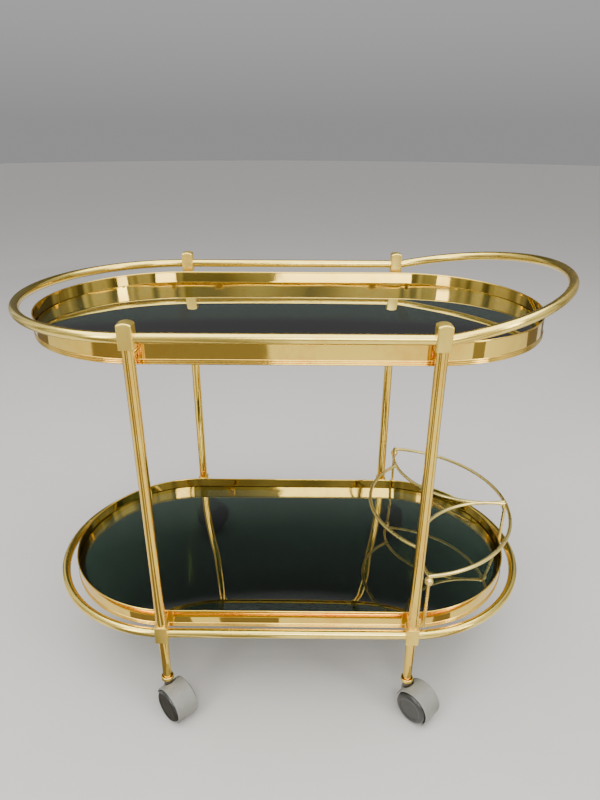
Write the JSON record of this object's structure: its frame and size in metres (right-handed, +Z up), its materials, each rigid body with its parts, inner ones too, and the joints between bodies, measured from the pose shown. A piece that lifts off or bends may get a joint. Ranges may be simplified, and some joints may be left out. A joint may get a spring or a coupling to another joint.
{
  "type": "bar cart",
  "caption": "Oval serving trolley with brass tube rails, a smoked glass tray on each tier, a wire bottle rack, a raised push handle and swivelling casters.",
  "frame": {"origin": "on the floor under the middle of the overall length and width", "axes": "+X along the length towards the push handle, +Y across the trolley, +Z up"},
  "size_m": [0.7764, 0.5002, 0.6357],
  "materials": {
    "polished_brass": "polished, lacquered",
    "satin_brass": "satin",
    "rack_wire": "satin wire",
    "smoked_glass": "polished, grey-green smoked",
    "caster_plastic": "moulded, fine grain",
    "wheel_plastic": "moulded, slight sheen",
    "steel": "zinc plated"
  },
  "bodies": {
    "frame": {"top_rail_front": "polished_brass", "top_rail_rear": "polished_brass", "top_rail_bow": "polished_brass", "push_handle": "polished_brass", "low_rail_front": "polished_brass", "low_rail_rear": "polished_brass", "low_rail_left_bow": "polished_brass", "low_rail_right_bow": "polished_brass", "cap_front_left": "satin_brass", "cap_front_right": "satin_brass", "cap_rear_left": "satin_brass", "cap_rear_right": "satin_brass", "post_front_left": "polished_brass", "post_front_right": "polished_brass", "post_rear_left": "polished_brass", "post_rear_right": "polished_brass", "block_front_left": "satin_brass", "block_front_right": "satin_brass", "block_rear_left": "satin_brass", "block_rear_right": "satin_brass", "foot_front_left": "polished_brass", "foot_front_right": "polished_brass", "foot_rear_left": "polished_brass", "foot_rear_right": "polished_brass", "collar_front_left": "satin_brass", "collar_front_right": "satin_brass", "collar_rear_left": "satin_brass", "collar_rear_right": "satin_brass", "tie_rods": "steel", "upper_band": "polished_brass", "lower_band": "polished_brass", "upper_glass": "smoked_glass", "lower_glass": "smoked_glass", "upper_spacers": "satin_brass", "lower_spacers": "satin_brass", "rack_ring": "rack_wire", "rack_divider_front": "rack_wire", "rack_divider_rear": "rack_wire", "rack_inner_arc": "rack_wire", "rack_posts": "rack_wire"},
    "caster_front_left": {"stem_front_left": "steel", "hood_front_left": "caster_plastic", "axle_front_left": "steel"},
    "roller_front_left_a": {"wheel_front_left_a": "wheel_plastic"},
    "roller_front_left_b": {"wheel_front_left_b": "wheel_plastic"},
    "caster_front_right": {"stem_front_right": "steel", "hood_front_right": "caster_plastic", "axle_front_right": "steel"},
    "roller_front_right_a": {"wheel_front_right_a": "wheel_plastic"},
    "roller_front_right_b": {"wheel_front_right_b": "wheel_plastic"},
    "caster_rear_left": {"stem_rear_left": "steel", "hood_rear_left": "caster_plastic", "axle_rear_left": "steel"},
    "roller_rear_left_a": {"wheel_rear_left_a": "wheel_plastic"},
    "roller_rear_left_b": {"wheel_rear_left_b": "wheel_plastic"},
    "caster_rear_right": {"stem_rear_right": "steel", "hood_rear_right": "caster_plastic", "axle_rear_right": "steel"},
    "roller_rear_right_a": {"wheel_rear_right_a": "wheel_plastic"},
    "roller_rear_right_b": {"wheel_rear_right_b": "wheel_plastic"}
  },
  "joints": [
    {"name": "swivel_front_left", "type": "hinge", "parent": "frame", "child": "caster_front_left", "pos_m": [-0.18366, -0.2, 0.04], "axis": [0, 0, 1], "continuous": true},
    {"name": "roll_front_left_a", "type": "hinge", "parent": "caster_front_left", "child": "roller_front_left_a", "pos_m": [-0.16811, -0.21556, 0.025], "axis": [0.7071, 0.7071, 0], "continuous": true},
    {"name": "roll_front_left_b", "type": "hinge", "parent": "caster_front_left", "child": "roller_front_left_b", "pos_m": [-0.16811, -0.21556, 0.025], "axis": [0.7071, 0.7071, 0], "continuous": true},
    {"name": "swivel_front_right", "type": "hinge", "parent": "frame", "child": "caster_front_right", "pos_m": [0.17634, -0.2, 0.04], "axis": [0, 0, 1], "continuous": true},
    {"name": "roll_front_right_a", "type": "hinge", "parent": "caster_front_right", "child": "roller_front_right_a", "pos_m": [0.19189, -0.21556, 0.025], "axis": [0.7071, 0.7071, 0], "continuous": true},
    {"name": "roll_front_right_b", "type": "hinge", "parent": "caster_front_right", "child": "roller_front_right_b", "pos_m": [0.19189, -0.21556, 0.025], "axis": [0.7071, 0.7071, 0], "continuous": true},
    {"name": "swivel_rear_left", "type": "hinge", "parent": "frame", "child": "caster_rear_left", "pos_m": [-0.18366, 0.2, 0.04], "axis": [0, 0, 1], "continuous": true},
    {"name": "roll_rear_left_a", "type": "hinge", "parent": "caster_rear_left", "child": "roller_rear_left_a", "pos_m": [-0.16811, 0.21556, 0.025], "axis": [-0.7071, 0.7071, 0], "continuous": true},
    {"name": "roll_rear_left_b", "type": "hinge", "parent": "caster_rear_left", "child": "roller_rear_left_b", "pos_m": [-0.16811, 0.21556, 0.025], "axis": [-0.7071, 0.7071, 0], "continuous": true},
    {"name": "swivel_rear_right", "type": "hinge", "parent": "frame", "child": "caster_rear_right", "pos_m": [0.17634, 0.2, 0.04], "axis": [0, 0, 1], "continuous": true},
    {"name": "roll_rear_right_a", "type": "hinge", "parent": "caster_rear_right", "child": "roller_rear_right_a", "pos_m": [0.19189, 0.21556, 0.025], "axis": [-0.7071, 0.7071, 0], "continuous": true},
    {"name": "roll_rear_right_b", "type": "hinge", "parent": "caster_rear_right", "child": "roller_rear_right_b", "pos_m": [0.19189, 0.21556, 0.025], "axis": [-0.7071, 0.7071, 0], "continuous": true}
  ]
}
